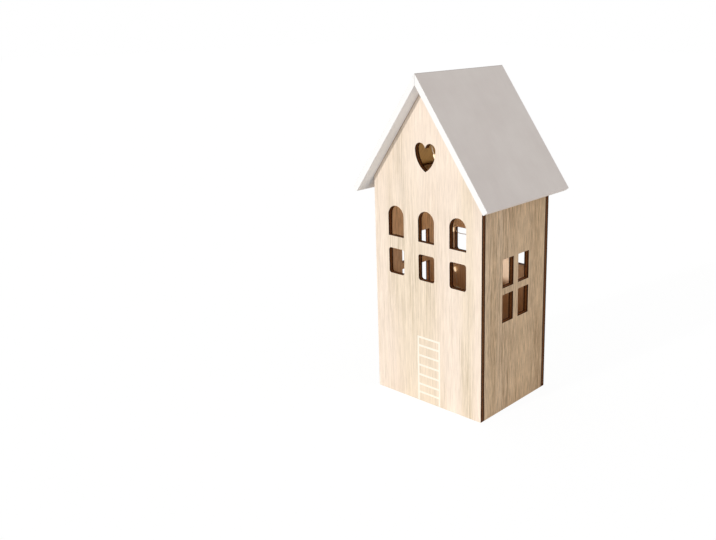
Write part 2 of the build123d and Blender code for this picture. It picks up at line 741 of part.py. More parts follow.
def leads():
    """Both leads, from their tabs down to the board, the positive one outside."""
    step = LEAD_DIAMETER
    tab_top = TAB_Z + CONTACT_THICKNESS
    outer_x = GUTTER_RIGHT - step
    inner_x = GUTTER_LEFT + step
    outer_y = WIRING_BACK - 1.5 * step
    inner_y = WIRING_FRONT + 2 * step
    tube(
        "positive_lead",
        [
            (TAB_X, FRONT_CELL_Y, tab_top),
            (TAB_X, FRONT_CELL_Y, tab_top + 2.4 * step),
            (outer_x, FRONT_CELL_Y + 3.6 * step, tab_top + 2.6 * step),
            (outer_x + 0.1 * step, FRONT_CELL_Y + 10 * step, tab_top + 1.9 * step),
            (outer_x, outer_y - 5.6 * step, tab_top + 1.6 * step),
            (outer_x - 3.8 * step, outer_y - 0.2 * step, tab_top + 1.5 * step),
            (BOARD_RIGHT + 5 * step, outer_y + 0.1 * step, tab_top + 1.1 * step),
            (BOARD_RIGHT - step, outer_y, BOARD_TOP + 3.2 * step),
            (BOARD_RIGHT - 3 * step, outer_y - 0.3 * step, BOARD_TOP + 2 * step),
            (BOARD_RIGHT - 3 * step, outer_y - 0.3 * step, BOARD_TOP),
        ],
        LEAD_DIAMETER,
    )
    tube(
        "negative_lead",
        [
            (TAB_X, BACK_CELL_Y, tab_top),
            (TAB_X, BACK_CELL_Y, tab_top + 2 * step),
            (inner_x + 0.4 * step, BACK_CELL_Y + 3 * step, tab_top + 2.4 * step),
            (inner_x + 0.3 * step, BACK_CELL_Y + 8.4 * step, tab_top + 2 * step),
            (inner_x - 3.6 * step, inner_y + 1.2 * step, tab_top + 1.6 * step),
            (BOARD_RIGHT + 6 * step, inner_y + 0.2 * step, tab_top + step),
            (BOARD_RIGHT + 0.5 * step, inner_y, BOARD_TOP + 2.8 * step),
            (BOARD_RIGHT - 1.6 * step, inner_y + 0.1 * step, BOARD_TOP + 1.8 * step),
            (BOARD_RIGHT - 1.6 * step, inner_y + 0.1 * step, BOARD_TOP),
        ],
        LEAD_DIAMETER,
    )


# The light wire keeps one stand-off from the walls that it is glued to
BACK_RUN = ROOM_BACK - WIRE_STANDOFF
RIGHT_RUN = ROOM_RIGHT - WIRE_STANDOFF
FRONT_RUN = -BACK_RUN
WIRE_START_X = BOARD_LEFT + POST_DIAMETER * 1.5

# Route of the light wire: from the board to the back wall as shares of that way,
# then on the walls as shares of the room's half width or half depth, with heights
# as shares of the eave height and, last, of the gable's rise
FOOT_ROUTE_SHARES = (
    (0, 0, 0),
    (0, 0, 0.219),
    (0.17, 0.202, 0.428),
    (0.605, 0.565, 0.689),
)
BACK_ROUTE_SHARES = (
    (-0.696, 0.293),
    (-0.726, 0.377),
    (-0.722, 0.44),
    (-0.793, 0.497),
    (-0.8, 0.575),
    (-0.793, 0.644),
    (-0.83, 0.701),
    (-0.891, 0.745),
    (-0.911, 0.789),
    (-0.824, 0.803),
    (-0.737, 0.789),
    (-0.741, 0.753),
    (-0.78, 0.72),
    (-0.707, 0.693),
    (-0.624, 0.668),
    (-0.485, 0.663),
    (-0.333, 0.66),
    (0.13, 0.664),
    (0.478, 0.66),
    (0.691, 0.664),
    (0.88, 0.674),
)
RIGHT_ROUTE_SHARES = (
    (0.836, 0.683),
    (0.542, 0.698),
    (0.222, 0.709),
    (-0.167, 0.714),
    (-0.556, 0.712),
    (-0.836, 0.738),
)
FRONT_ROUTE_SHARES = (
    (0.883, 0.781),
    (0.861, 0.856),
    (0.761, 0.931),
    (0.533, 0.994),
)
GABLE_ROUTE_SHARES = (
    (0.261, 0.101),
    (0.087, 0.261),
    (-0.011, 0.464),
    (-0.12, 0.623),
    (-0.065, 0.754),
)

# Places of the glue along the wire, as shares of the lamps' pitch from the first lamp
GLUE_SHARES = (1.5, 2.5, 3.29, 4.83, 5.79, 7.5, 9.48, 10.34, 11.58)


def light_route():
    """Points of the light wire's route, from the board to its end in the gable."""
    back = [(x * ROOM_RIGHT, BACK_RUN, z * EAVE_HEIGHT) for x, z in BACK_ROUTE_SHARES]
    right = [(RIGHT_RUN, y * ROOM_BACK, z * EAVE_HEIGHT) for y, z in RIGHT_ROUTE_SHARES]
    front = [(x * ROOM_RIGHT, FRONT_RUN, z * EAVE_HEIGHT) for x, z in FRONT_ROUTE_SHARES]
    gable = [
        (x * ROOM_RIGHT, FRONT_RUN, EAVE_HEIGHT + z * GABLE_RISE) for x, z in GABLE_ROUTE_SHARES
    ]
    start = Vector(WIRE_START_X, WIRING_Y, BOARD_TOP)
    way = Vector(*back[0]) - start
    foot = [
        (start.X + x * way.X, start.Y + y * way.Y, start.Z + z * way.Z)
        for x, y, z in FOOT_ROUTE_SHARES
    ]
    return foot + back + right + front + gable


def stations(path, shares):
    """Places on the wire, from shares of the lamps' pitch past the first lamp."""
    reach = [LAMP_START + share * LAMP_PITCH for share in shares]
    return [station / path.length for station in reach if station < path.length]


def led_beads(path):
    """Clear drops moulded round the wire, one for each lamp."""
    half = LAMP_LENGTH / 2
    belly = LAMP_BELLY / 2
    hole = WIRE_DIAMETER / 2 + LAMP_HOLE_CLEARANCE
    tip = hole + LAMP_TIP
    rings = ((-half, tip), (-belly, LAMP_DIAMETER / 2), (belly, LAMP_DIAMETER / 2), (half, tip))
    with BuildPart() as beads:
        for station in stations(path, range(LAMP_COUNT)):
            middle = path @ station
            along = path % station
            for reach, radius in rings:
                with BuildSketch(Plane(origin=middle + along * reach, z_dir=along)):
                    RegularPolygon(radius, BEAD_SIDES)
            loft(ruled=True)
            with BuildSketch(Plane(origin=middle, z_dir=along)):
                RegularPolygon(hole, WIRE_SIDES)
            extrude(amount=LAMP_LENGTH, both=True, mode=Mode.SUBTRACT)
    save(beads, "led_beads")


def wall_way(point):
    """The way from a point of the light wire to the wall that it lies along."""
    if point.X > RIGHT_RUN - WIRE_DIAMETER:
        return Vector(1, 0, 0)
    return Vector(0, copysign(1, point.Y), 0)


def glue_dots(path):
    """The blobs of glue that hold the wire on the walls, each between two lamps."""
    with BuildPart() as dots:
        for station in stations(path, GLUE_SHARES):
            middle = path @ station
            along = path % station
            way = wall_way(middle)
            foot = middle + way * WIRE_STANDOFF
            for across, up in BLOB_SHARES:
                level = foot - way * (GLUE_HEIGHT * up)
                with BuildSketch(Plane(origin=level, x_dir=along, z_dir=way * -1)):
                    RegularPolygon(GLUE_DIAMETER / 2 * across, BEAD_SIDES)
            loft(ruled=True)
            with BuildSketch(Plane(origin=middle, z_dir=along)):
                RegularPolygon(WIRE_DIAMETER / 2 + GLUE_CLEARANCE, WIRE_SIDES)
            extrude(amount=GLUE_DIAMETER, both=True, mode=Mode.SUBTRACT)
    save(dots, "glue_dots")


def wire_anchor():
    """The blob of glue round the wire's foot on the board."""
    with BuildPart() as anchor:
        for across, up in BLOB_SHARES:
            with BuildSketch(Plane.XY.offset(BOARD_TOP + ANCHOR_HEIGHT * up)):
                with Locations((WIRE_START_X, WIRING_Y)):
                    RegularPolygon(ANCHOR_DIAMETER / 2 * across, BEAD_SIDES)
        loft(ruled=True)
        with BuildSketch(Plane.XY.offset(BOARD_TOP)):
            with Locations((WIRE_START_X, WIRING_Y)):
                Circle(WIRE_DIAMETER / 2 + GLUE_CLEARANCE)
        extrude(amount=ANCHOR_HEIGHT, mode=Mode.SUBTRACT)
    save(anchor, "wire_anchor")


gable_wall("front_wall", -ROOM_BACK)
gable_wall("back_wall", HOUSE_DEPTH / 2)
side_wall("left_wall", -HOUSE_WIDTH / 2)
side_wall("right_wall", ROOM_RIGHT)
roof_panel("roof_left", -1)
roof_panel("roof_right", 1)
base_plate()
battery_case()
battery_cover()
case_screws()
battery("battery_1", FRONT_CELL_Y, BAY_RIGHT - CONTACT_THICKNESS, 1)
battery("battery_2", BACK_CELL_Y, BAY_LEFT + CONTACT_THICKNESS, -1)
bridge_plate()
tabbed_plate("positive_plate", FRONT_CELL_Y)
tabbed_plate("negative_plate", BACK_CELL_Y)
contact_springs()
switch_body()
switch_knob()
switch_pins()
driver_board()
resistor()
leads()
light_path = tube("led_wire", light_route(), WIRE_DIAMETER)
led_beads(light_path)
glue_dots(light_path)
wire_anchor()
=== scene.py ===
"""Plywood house lantern: materials, wiring, lamps, print, light and camera.

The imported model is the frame. Everything is in metres, in its axes: X along
the front wall, Y from front to back, Z up, the origin on the table.
"""
import math
from collections import namedtuple

import bmesh
import bpy
from mathutils import Matrix, Vector


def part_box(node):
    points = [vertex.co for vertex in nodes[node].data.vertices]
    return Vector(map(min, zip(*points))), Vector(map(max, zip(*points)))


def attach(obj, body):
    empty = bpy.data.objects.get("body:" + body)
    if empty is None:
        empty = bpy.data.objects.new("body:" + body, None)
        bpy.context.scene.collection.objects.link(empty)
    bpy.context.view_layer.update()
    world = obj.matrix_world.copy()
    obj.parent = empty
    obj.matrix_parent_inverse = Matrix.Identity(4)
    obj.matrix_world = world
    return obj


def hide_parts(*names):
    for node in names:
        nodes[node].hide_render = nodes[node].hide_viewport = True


MM = 0.001
X, Y, Z = 0, 1, 2

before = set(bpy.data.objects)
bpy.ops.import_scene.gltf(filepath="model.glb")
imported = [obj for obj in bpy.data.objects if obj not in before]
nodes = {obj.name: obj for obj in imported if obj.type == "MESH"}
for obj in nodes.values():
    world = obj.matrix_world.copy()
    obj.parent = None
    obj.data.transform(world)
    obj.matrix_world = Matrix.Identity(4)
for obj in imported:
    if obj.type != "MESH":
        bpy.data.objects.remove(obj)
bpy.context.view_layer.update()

# Sizes of the house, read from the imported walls
front_low, front_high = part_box("front_wall")
back_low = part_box("back_wall")[0]
left_low, left_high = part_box("left_wall")
right_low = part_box("right_wall")[0]
floor_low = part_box("base_plate")[0]
WALL = front_high.y - front_low.y
EAVE = left_high.z
PEAK = front_high.z
SLOPE = math.atan2(PEAK - EAVE, front_high.x)
ROOM_X = right_low.x
ROOM_Y = back_low.y


# Materials


def tint(red, green, blue):
    """A colour from its screen values of 0 to 255, by the sRGB curve."""
    linear = []
    for value in (red, green, blue):
        share = value / 255
        linear.append(share / 12.92 if share <= 0.04045 else ((share + 0.055) / 1.055) ** 2.4)
    return (*linear, 1.0)


class Nodes:
    """A node tree. Its calls add nodes and mostly give back the socket made."""

    def __init__(self, tree):
        self.tree = tree

    def add(self, kind, **settings):
        """A new node, named by the end of its type."""
        node = self.tree.nodes.new("ShaderNode" + kind)
        for label, value in settings.items():
            setattr(node, label, value)
        return node

    def put(self, socket, value):
        """Link another socket to this one, or give it a plain value."""
        if isinstance(value, bpy.types.NodeSocket):
            self.tree.links.new(value, socket)
        else:
            socket.default_value = value

    def fill(self, node, *values):
        """Give a node's first sockets their values."""
        for socket, value in zip(node.inputs, values):
            self.put(socket, value)
        return node.outputs[0]

    def math(self, operation, *values):
        """The result of a sum on sockets and plain values."""
        return self.fill(self.add("Math", operation=operation), *values)

    def scaled(self, value, factor):
        """A value times a factor."""
        return self.math("MULTIPLY", value, factor)

    def size(self, value):
        """A value without its sign."""
        return self.math("ABSOLUTE", value)

    def blend(self, share, first, second):
        """Two shaders, with a share of the second."""
        return self.fill(self.add("MixShader"), share, first, second)

    def seen_directly(self):
        """1 where the camera, a gloss or a clear piece sees the background."""
        path = self.add("LightPath")
        seen = path.outputs["Is Camera Ray"]
        for label in ("Is Glossy Ray", "Is Transmission Ray"):
            seen = self.math("MAXIMUM", seen, path.outputs[label])
        return seen


class Finish(Nodes):
    """A material and its nodes."""

    # Sockets of the Mix node that hold colours
    FIRST, SECOND, MIXED = 6, 7, 2

    def __init__(self, name, **shader):
        self.material = bpy.data.materials.new(name)
        self.material.use_nodes = True
        super().__init__(self.material.node_tree)
        self.shader = self.tree.nodes["Principled BSDF"]
        for label, value in shader.items():
            self.to_shader(label.replace("_", " "), value)

    def to_shader(self, label, value):
        """Give one of the shader's values."""
        self.put(self.shader.inputs[label], value)

    def axes(self, turn=0.0):
        """X, Y and Z of the object, turned about Y by an angle."""
        return self.split(self.turned("Object", turn))

    def normals(self, turn=0.0):
        """X, Y and Z of the surface's normal on the object, turned likewise."""
        return self.split(self.turned("Normal", turn))

    def turned(self, label, turn):
        """A texture coordinate, turned about Y by an angle."""
        vector = self.add("TexCoord").outputs[label]
        if not turn:
            return vector
        node = self.add("VectorRotate", rotation_type="Y_AXIS")
        self.put(node.inputs["Vector"], vector)
        self.put(node.inputs["Angle"], turn)
        return node.outputs[0]

    def split(self, vector):
        """X, Y and Z of a vector."""
        node = self.add("SeparateXYZ")
        self.put(node.inputs[0], vector)
        return [node.outputs[axis] for axis in (X, Y, Z)]

    def noise(self, vector, detail=2.0, roughness=0.5, scale=1.0):
        """A noise from 0 to 1 over a vector."""
        node = self.add("TexNoise")
        self.put(node.inputs["Vector"], vector)
        self.put(node.inputs["Scale"], scale)
        self.put(node.inputs["Detail"], detail)
        self.put(node.inputs["Roughness"], roughness)
        return node.outputs[0]

    def vector(self, axes, waves, shifts=(0.0, 0.0, 0.0)):
        """Three axes as a vector, each times its waves per metre and shifted."""
        parts = [self.math("MULTIPLY_ADD", *part) for part in zip(axes, waves, shifts)]
        return self.fill(self.add("CombineXYZ"), *parts)

    def ramp(self, factor, *stops, interpolation="LINEAR"):
        """Colours or greys at places from 0 to 1 along the factor."""
        node = self.add("ValToRGB")
        self.put(node.inputs[0], factor)
        node.color_ramp.interpolation = interpolation
        elements = node.color_ramp.elements
        while len(elements) < len(stops):
            elements.new(0.5)
        for element, (place, colour) in zip(elements, stops):
            element.position = place
            element.color = colour if isinstance(colour, tuple) else (colour, colour, colour, 1.0)
        return node.outputs[0]

    def mix(self, factor, first, second, blend="MIX"):
        """Two colours, with a share of the second, blended in one of Blender's ways."""
        node = self.add("Mix", data_type="RGBA", blend_type=blend)
        self.put(node.inputs["Factor"], factor)
        self.put(node.inputs[self.FIRST], first)
        self.put(node.inputs[self.SECOND], second)
        return node.outputs[self.MIXED]

    def shaded(self, colour, shade):
        """A colour times another colour or a grey."""
        return self.mix(1.0, colour, shade, "MULTIPLY")

    def bump(self, height, distance, strength):
        """Make the surface uneven by a height times a distance."""
        node = self.add("Bump")
        self.put(node.inputs["Height"], height)
        self.put(node.inputs["Distance"], distance)
        self.put(node.inputs["Strength"], strength)
        self.to_shader("Normal", node.outputs[0])


# A pattern in the plywood's grain: its waves per metre across and along the
# grain, a shift that sets it apart from the others, and its noise's detail
# and roughness
Pattern = namedtuple("Pattern", "across along shift detail roughness", defaults=(0.5,))
SWAY = Pattern(22, 14, 0.0, 1.0)
BANDS = Pattern(60, 3.2, 0.0, 3.0)
CROWD = Pattern(42, 6, 7.0, 2.0)
PORES = Pattern(2400, 130, 37.0, 1.0)
MOTTLE = Pattern(150, 48, 51.0, 3.0, 0.6)
DEPTH_WAVES = 60
CHAR_WAVES = (500, 500, 1800)
SWAY_REACH = 3 * MM

# Curves: each pair is a value and what it becomes, straight in between
BAND_CURVE = ((0.34, 0.0), (0.66, 1.0))
CROWD_CURVE = ((0.42, 0.12), (0.6, 1.0))
STREAK_CURVE = ((0.42, 0.0), (0.74, 1.0))
PORE_CURVE = ((0.66, 0.0), (0.76, 1.0))
HEART_CURVE = ((0.3, 1.0), (0.62, 0.0))
CHAR_CURVE = ((0.3, 0.45), (0.75, 1.3))

# Strengths of what the grain shows
CLOSE_SHARE = 0.6
PORE_SHARE = 0.3
PORE_DEPTH_SHARE = 1.5
GRAIN_DEPTH = 0.06 * MM
RIM_WIDTH = 1.1 * MM

# A face looks along an axis when this share of its normal does
FACE_SHARE = 0.5

# Colours of a veneer: pale ground, warm bands, where lines are close, dark lines
PLY_GABLE = (tint(237, 221, 206), tint(234, 217, 200), tint(226, 210, 186), tint(176, 160, 130))
# Warmer, with darker lines, than the gables': partly the sheets' own tone, partly painted shade on the side
# walls
PLY_SIDE = (tint(241, 213, 181), tint(226, 196, 160), tint(215, 183, 145), tint(132, 97, 62))
PLY_FLOOR = (tint(226, 200, 166), tint(214, 184, 148), tint(210, 180, 142), tint(180, 144, 104))
PLY_INNER = (tint(252, 232, 212), tint(246, 222, 196), tint(240, 212, 182), tint(202, 160, 118))
PORE = tint(120, 84, 52)
# Laser burn and painted shadow along the gable's sloping edges
BURN_AND_SHADOW = tint(128, 96, 64)
# Painted shade on the inner faces, low in the room
PAINTED_LOW_SHADE = tint(232, 216, 194)

# Charred plies, from a sheet's lower face up
PLIES = (
    (0.0, tint(66, 35, 16)),
    (0.24, tint(70, 37, 17)),
    (0.31, tint(116, 70, 34)),
    (0.5, tint(124, 77, 39)),
    (0.69, tint(112, 67, 33)),
    (0.76, tint(62, 33, 15)),
)

# The figure of a sheet. streaks and fibres are its lines, and thread and mottle
# how far fibres and patches differ. The heart is the band of close lines, with
# its place at the foot, its width and its lean with height: calm is what is
# left of the lines outside it, and fade what is left of it in the gable. The
# vein is a second, narrower band, with its place, half width and strength.
# rim is how dark the gable's sloping edges are: laser burn and painted shadow
# where the roof meets the wall. The eaves' value is how light the inner face is
# under the eaves, painted shade, and char how light the cut edges are; above 1
# it is painted light on the side walls' window cuts.
GABLE_FIGURE = {
    "streaks": Pattern(1050, 24, 11.0, 4.0, 0.72),
    "fibres": Pattern(2520, 67.2, 23.0, 4.0, 0.7),
    "thread": 0.14,
    "mottle": 0.03,
    "heart": -3 * MM,
    "heart_width": 42 * MM,
    "lean": -0.11,
    "calm": 0.45,
    "fade": 0.35,
    "vein": 39 * MM,
    "vein_half": 8 * MM,
    "vein_share": 0.9,
    "rim": 0.45,
    "eave_shade": 1.0,
    "char": 1.0,
}
SIDE_FIGURE = {
    "streaks": Pattern(680, 30, 11.0, 4.0, 0.72),
    "fibres": Pattern(1632, 84, 23.0, 4.0, 0.7),
    "thread": 0.36,
    "mottle": 0.06,
    "heart": 22 * MM,
    "heart_width": 60 * MM,
    "lean": 0.0,
    "calm": 0.85,
    "fade": 1.0,
    "vein": 0.0,
    "vein_half": 8 * MM,
    "vein_share": 0.0,
    "rim": 0.0,
    "eave_shade": 0.34,
    # Above 1: painted light on the side walls' cut edges
    "char": 1.35,
}


class Sheet:
    """The look of one plywood sheet, in its own axes.

    over runs across the grain and sways with it, length runs along the grain
    and depth through the sheet.
    """

    def __init__(self, finish, axes, seed, figure):
        place = finish.axes()
        self.finish = finish
        self.seed = seed
        self.figure = figure
        self.straight, self.length, self.depth = (place[axis] for axis in axes)
        self.over = self.straight
        self.over = finish.math("MULTIPLY_ADD", self.grain(SWAY), SWAY_REACH, self.straight)
        self.bands = finish.ramp(self.grain(BANDS), *BAND_CURVE)
        self.close = self.closeness()
        crowd = self.crowd()
        streaks = finish.ramp(self.grain(figure["streaks"]), *STREAK_CURVE)
        pores = finish.ramp(self.grain(PORES), *PORE_CURVE)
        self.lines = finish.math("MULTIPLY", streaks, crowd)
        self.dashes = finish.scaled(finish.math("MULTIPLY", pores, crowd), PORE_SHARE)
        self.fibres = self.grain(figure["fibres"])
        self.thread = self.varied(self.fibres, 0.3, 0.7, figure["thread"])
        self.mottle = self.varied(self.grain(MOTTLE), 0.35, 0.65, figure["mottle"])
        self.rim_burn_and_shadow = self.burn_and_shadow()

    def grain(self, pattern):
        """Noise drawn out along the grain."""
        vector = self.finish.vector(
            (self.over, self.length, self.depth),
            (pattern.across, pattern.along, DEPTH_WAVES),
            (self.seed + pattern.shift, 0.0, 0.0),
        )
        return self.finish.noise(vector, detail=pattern.detail, roughness=pattern.roughness)

    def closeness(self):
        """Up to 1 in the heart and the vein, down to 0 away from them."""
        finish, figure = self.finish, self.figure
        middle = finish.math("MULTIPLY_ADD", self.length, figure["lean"], figure["heart"])
        aside = finish.size(finish.math("SUBTRACT", self.over, middle))
        heart = finish.ramp(finish.math("DIVIDE", aside, figure["heart_width"]), *HEART_CURVE)
        rise = finish.math("DIVIDE", self.length, PEAK)
        heart = finish.math("MULTIPLY", heart, finish.ramp(rise, (0.42, 1.0), (0.66, figure["fade"])))
        aside = finish.size(finish.math("SUBTRACT", self.over, figure["vein"]))
        aside = finish.math("DIVIDE", aside, figure["vein_half"])
        return finish.math("MAXIMUM", heart, finish.ramp(aside, (0.4, figure["vein_share"]), (1.0, 0.0)))

    def crowd(self):
        """How strongly the lines show, calmer where they aren't close."""
        finish, calm = self.finish, self.figure["calm"]
        crowd = finish.ramp(self.grain(CROWD), *CROWD_CURVE)
        return finish.math("MULTIPLY", crowd, finish.math("MULTIPLY_ADD", self.close, 1 - calm, calm))

    def burn_and_shadow(self):
        """How dark the face is along the gable's sloping edges: laser burn, and painted shadow where the
        roof meets the wall.
        """
        finish = self.finish
        below = finish.scaled(finish.math("SUBTRACT", PEAK, self.length), math.cos(SLOPE))
        aside = finish.scaled(finish.size(self.straight), math.sin(SLOPE))
        inside = finish.math("DIVIDE", finish.math("SUBTRACT", below, aside), RIM_WIDTH)
        return finish.ramp(inside, (0.3, self.figure["rim"]), (1.0, 0.0))

    def varied(self, noise, low, high, share):
        """A shade that differs from 1 by a share, between two values of a noise."""
        return self.finish.ramp(noise, (low, 1 - share), (high, 1 + share))

    def veneer(self, pale, warm, close, dark):
        """A face of the sheet, in the four colours of its veneer."""
        finish = self.finish
        face = finish.mix(self.bands, pale, warm)
        face = finish.mix(finish.scaled(self.close, CLOSE_SHARE), face, close)
        face = finish.mix(self.lines, face, dark)
        face = finish.shaded(face, self.thread)
        face = finish.shaded(face, self.mottle)
        face = finish.mix(self.dashes, face, finish.mix(0.5, dark, PORE))
        # Laser burn and painted shadow along the gable's sloping edges
        return finish.mix(self.rim_burn_and_shadow, face, BURN_AND_SHADOW)

    def inner_veneer(self):
        """The inner face with painted shade: darker towards the floor and, in the sides, under the eaves."""
        finish = self.finish
        level = finish.math("DIVIDE", self.length, EAVE)
        eave_shade = self.figure["eave_shade"]
        painted_shade = finish.ramp(level, (0.36, PAINTED_LOW_SHADE), (0.54, 1.0), (0.93, 1.0), (0.99, eave_shade))
        return finish.shaded(self.veneer(*PLY_INNER), painted_shade)

    def edge(self, low):
        """The charred plies of a cut edge."""
        finish = self.finish
        layer = finish.math("DIVIDE", finish.math("SUBTRACT", self.depth, low), WALL)
        vector = finish.vector((self.over, self.length, self.depth), CHAR_WAVES)
        char = finish.ramp(finish.noise(vector, detail=3.0), *CHAR_CURVE)
        edge = finish.shaded(finish.ramp(layer, *PLIES), char)
        # A char above 1 is painted light, standing in for the light that reaches the side walls' window cuts
        return finish.shaded(edge, (self.figure["char"],) * 3 + (1.0,))


def wood(name, axes, low, inward, tones, seed, figure=GABLE_FIGURE):
    """Raw plywood: grained faces, and cut edges that show the charred plies.

    axes are those across the grain, along it and through the sheet, low is the
    sheet's lower face, inward the way to its inner face, and tones the colours
    of its outer veneer. The inner one is the same wood in every sheet.
    """
    finish = Finish(name, Roughness=0.7, Specular_IOR_Level=0.12)
    sheet = Sheet(finish, axes, seed, figure)
    facing = finish.scaled(finish.normals()[axes[2]], inward)
    inner = finish.math("GREATER_THAN", facing, FACE_SHARE)
    outer = finish.math("LESS_THAN", facing, -FACE_SHARE)
    colour = finish.mix(inner, sheet.edge(low), sheet.inner_veneer())
    colour = finish.mix(outer, colour, sheet.veneer(*tones))
    finish.to_shader("Base Color", colour)
    height = finish.math("SUBTRACT", sheet.fibres, finish.scaled(sheet.dashes, PORE_DEPTH_SHARE))
    finish.bump(height, GRAIN_DEPTH, strength=0.6)
    return finish.material


# Paint of the roof: waves per metre along the turned axes, depth and colours
PAINT_GRAIN_WAVES = (30, 420, 30)
PAINT_CLOUD_WAVES = (45, 45, 45)
PAINT_SPECK_WAVES = (1500, 1500, 1500)
PAINT_DEPTH = 0.04 * MM
SPECK_SHARE = 0.5
PAINT_TOP = (tint(245, 236, 230), tint(239, 229, 223))
# Painted light: the lit edges and the shaded underside get whites of their own
PAINT_LIT_EDGE_TONE = tint(238, 237, 236)
PAINT_SHADED_UNDER_TONE = tint(240, 240, 241)
RAW_PLY = tint(236, 220, 180)
SEAM = tint(120, 112, 104)
SEAM_WIDTH = 0.5 * MM
SEAM_SHARE = 0.35


def paint(name, turn, seed):
    """Matt white paint on plywood, the grain just showing through.

    The edges and the underside get whites of their own, painted light set for how
    each is lit. The underside is raw over the room and the walls, and the panels'
    mitre shows as a seam.
    """
    finish = Finish(name, Roughness=0.6, Specular_IOR_Level=0.3)
    axes = finish.axes(turn)
    grain = finish.noise(finish.vector(axes, PAINT_GRAIN_WAVES, (0.0, seed, 0.0)), detail=3.0)
    cloud = finish.noise(finish.vector(axes, PAINT_CLOUD_WAVES), detail=3.0)
    speck = finish.noise(finish.vector(axes, PAINT_SPECK_WAVES))
    facing = finish.normals(turn)
    edge = finish.math("GREATER_THAN", finish.size(facing[Y]), FACE_SHARE)
    under = finish.math("LESS_THAN", facing[Z], -FACE_SHARE)
    colour = finish.mix(finish.ramp(cloud, (0.3, 0.0), (0.7, 1.0)), *PAINT_TOP)
    # Painted light: whites for the lit edges and the shaded underside
    colour = finish.mix(edge, colour, PAINT_LIT_EDGE_TONE)
    colour = finish.mix(under, colour, PAINT_SHADED_UNDER_TONE)

    place = finish.axes()
    across = finish.math("LESS_THAN", finish.size(place[X]), front_high.x)
    along = finish.math("LESS_THAN", finish.size(place[Y]), ROOM_Y)
    raw = finish.math("MULTIPLY", finish.math("MULTIPLY", along, across), under)
    colour = finish.mix(raw, colour, finish.shaded(RAW_PLY, finish.ramp(grain, (0.35, 0.9), (0.65, 1.03))))
    colour = finish.shaded(colour, finish.ramp(grain, (0.3, 0.985), (0.7, 1.0)))
    seam = finish.math("LESS_THAN", finish.size(place[X]), SEAM_WIDTH / 2)
    finish.to_shader("Base Color", finish.mix(finish.scaled(seam, SEAM_SHARE), colour, SEAM))
    height = finish.math("ADD", grain, finish.scaled(speck, SPECK_SHARE))
    finish.bump(height, PAINT_DEPTH, strength=0.4)
    return finish.material


# Depths of fine surfaces, and the broad patches' share of their fine waves
POLISHED = 0.005 * MM
SATIN = 0.01 * MM
MATT = 0.02 * MM
COARSE = 0.03 * MM
PATCH_SHARE = 0.13


def grained(name, colour, other, waves, depth, **shader):
    """A finish that wanders between two colours, with a fine surface."""
    finish = Finish(name, **shader)
    vector = finish.vector(finish.axes(), (waves, waves, waves))
    patches = finish.ramp(finish.noise(vector, detail=1.0, scale=PATCH_SHARE), (0.3, 0.0), (0.7, 1.0))
    finish.to_shader("Base Color", finish.mix(patches, colour, other))
    finish.bump(finish.noise(vector, detail=3.0), depth, strength=0.5)
    return finish.material


# Sleeves of the cells
SCRATCH_WAVES = (80, 900, 900)
STEEL = tint(196, 194, 188)
SLEEVE_DARK = tint(38, 44, 50)
SLEEVE_BRIGHT = tint(196, 150, 84)


def cell_sleeve(name, low, high, plus_high):
    """A printed sleeve in two colours, bare steel at both ends and on the nub."""
    finish = Finish(name, Roughness=0.32)
    axes = finish.axes()
    share = finish.math("DIVIDE", finish.math("SUBTRACT", axes[X], low), high - low)
    if not plus_high:
        share = finish.math("SUBTRACT", 1.0, share)
    scratch = finish.noise(finish.vector(axes, SCRATCH_WAVES), detail=3.0)
    bands = finish.ramp(
        share,
        (0.0, STEEL),
        (0.02, SLEEVE_DARK),
        (0.63, SLEEVE_BRIGHT),
        (0.96, STEEL),
        interpolation="CONSTANT",
    )
    finish.to_shader("Base Color", finish.shaded(bands, finish.ramp(scratch, (0.3, 0.9), (0.7, 1.05))))
    finish.to_shader("Metallic", finish.ramp(share, (0.0, 0.85), (0.02, 0.25), (0.95, 0.25), (0.96, 0.85)))
    finish.bump(scratch, MATT, strength=0.4)
    return finish.material


# Materials of the CAD nodes
plastic = grained("case_plastic", tint(30, 30, 31), tint(38, 38, 39), 2600, COARSE, Roughness=0.55)
nickel = grained(
    "nickel", tint(206, 202, 192), tint(186, 182, 172), 1200, SATIN, Roughness=0.3, Metallic=1.0
)
zinc = grained("zinc", tint(190, 192, 194), tint(166, 168, 172), 900, SATIN, Roughness=0.38, Metallic=1.0)
board = grained("board_green", tint(26, 84, 50), tint(20, 66, 42), 700, MATT, Roughness=0.35)
knob = grained("knob_plastic", tint(24, 24, 25), tint(34, 34, 36), 2600, MATT, Roughness=0.45)
resistor = grained("resistor_body", tint(204, 176, 130), tint(190, 158, 112), 900, MATT, Roughness=0.5)
MATERIALS = {
    "front_wall": wood("plywood_front", (X, Z, Y), front_low.y, 1, PLY_GABLE, seed=3.1),
    "back_wall": wood("plywood_back", (X, Z, Y), back_low.y, -1, PLY_GABLE, seed=17.7),
    "left_wall": wood("plywood_left", (Y, Z, X), left_low.x, 1, PLY_SIDE, 41.3, SIDE_FIGURE),
    "right_wall": wood("plywood_right", (Y, Z, X), right_low.x, -1, PLY_SIDE, 58.9, SIDE_FIGURE),
    "base_plate": wood("plywood_floor", (Y, X, Z), floor_low.z, 1, PLY_FLOOR, seed=77.0),
    "roof_left": paint("white_paint_left", SLOPE, seed=5.0),
    "roof_right": paint("white_paint_right", -SLOPE, seed=29.0),
    "battery_case": plastic,
    "battery_cover": plastic,
    "bridge_plate": nickel,
    "positive_plate": nickel,
    "negative_plate": nickel,
    "contact_springs": nickel,
    "switch_pins": nickel,
    "case_screws": zinc,
    "switch_body": zinc,
    "switch_knob": knob,
    "driver_board": board,
    "resistor": resistor,
}
for cell, plus_high in (("battery_1", True), ("battery_2", False)):
    cell_low, cell_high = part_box(cell)
    MATERIALS[cell] = cell_sleeve("cell_sleeve_" + cell[-1], cell_low.x, cell_high.x, plus_high)

for name, material in MATERIALS.items():
    slots = nodes[name].material_slots
    if not slots:
        nodes[name].data.materials.append(material)
    for place in slots:
        place.material = material


